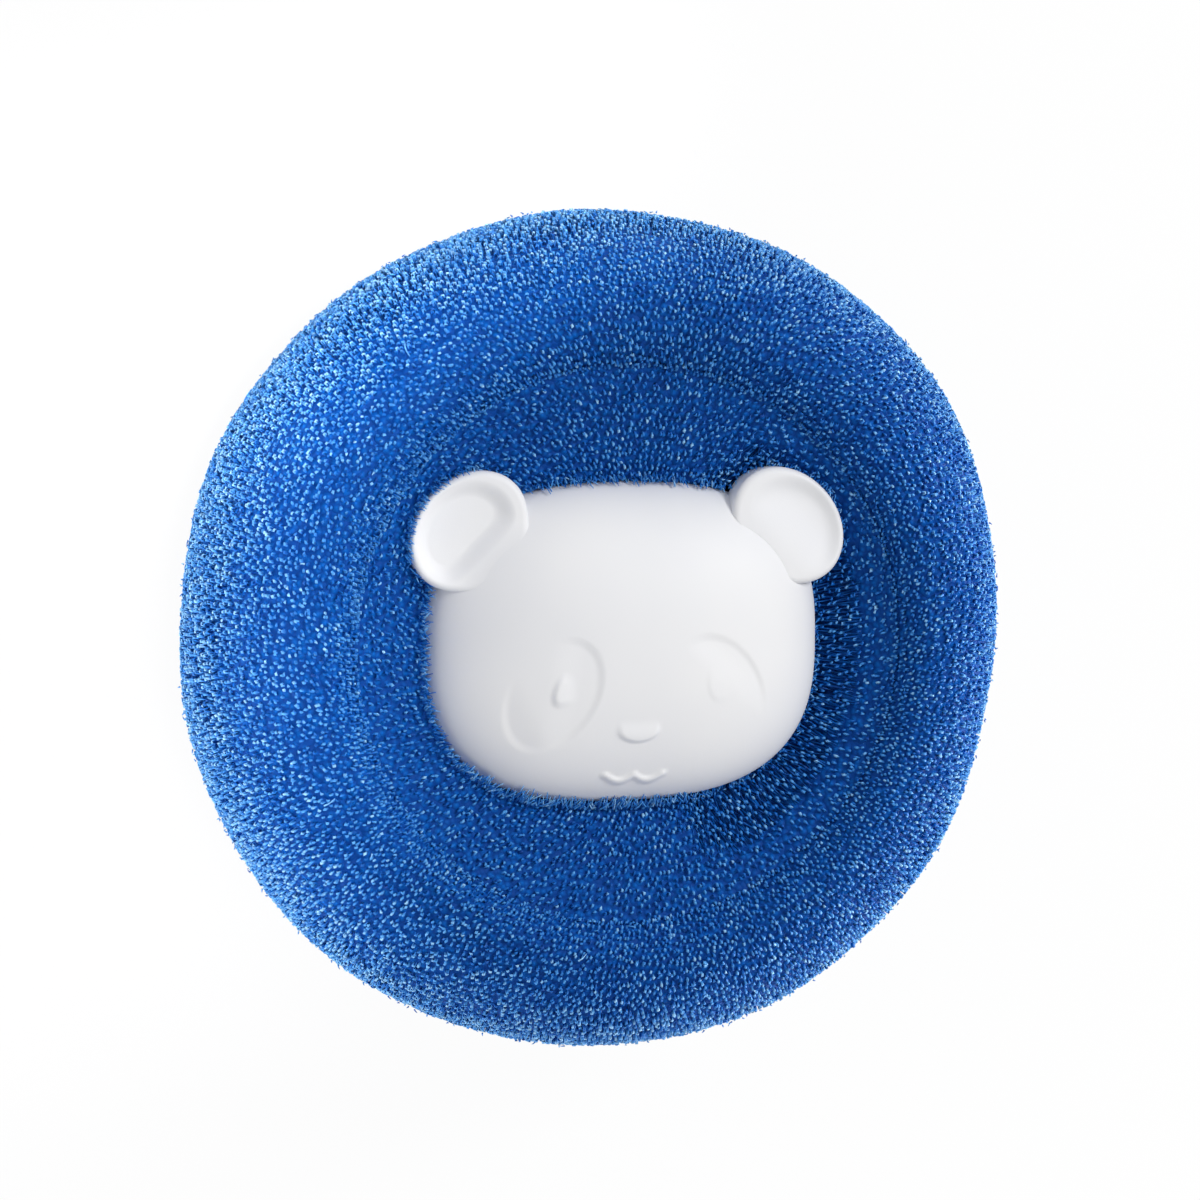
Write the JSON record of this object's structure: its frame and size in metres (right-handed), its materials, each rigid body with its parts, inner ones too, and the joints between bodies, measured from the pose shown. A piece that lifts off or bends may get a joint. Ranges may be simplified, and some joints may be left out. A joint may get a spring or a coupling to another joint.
{
  "type": "pet hair laundry ball",
  "caption": "Plump ring of blue knitted nylon mesh gathered round a hollow white bear-head float; it tumbles with the wash and catches pet hair and lint.",
  "frame": {"origin": "on the surface that the ball rests on, under the middle of the mesh ring", "axes": "+Z along the ring's axis, out through the bear's face; +Y from the chin towards the ears; +X to the right as seen facing the face"},
  "size_m": [0.097, 0.0985, 0.046],
  "materials": {
    "knit_mesh": "shiny flat nylon filament, knitted in fine loops",
    "tie_thread": "twisted polyester thread",
    "white_plastic": "satin injection-moulded polypropylene"
  },
  "bodies": {
    "ring": {"mesh_sleeve": "knit_mesh", "mesh_roll": "knit_mesh", "front_tie": "tie_thread", "rear_tie": "tie_thread"},
    "float": {"mesh_collar": "knit_mesh", "face_shell": "white_plastic", "head_back": "white_plastic", "rear_button": "white_plastic"}
  },
  "joints": [
    {"name": "float_twist", "type": "hinge", "parent": "ring", "child": "float", "pos_m": [0, 0, 0.02], "axis": [0, 0, 1], "range_deg": [-45, 45], "stiffness_Nm_per_rad": 0.02}
  ]
}
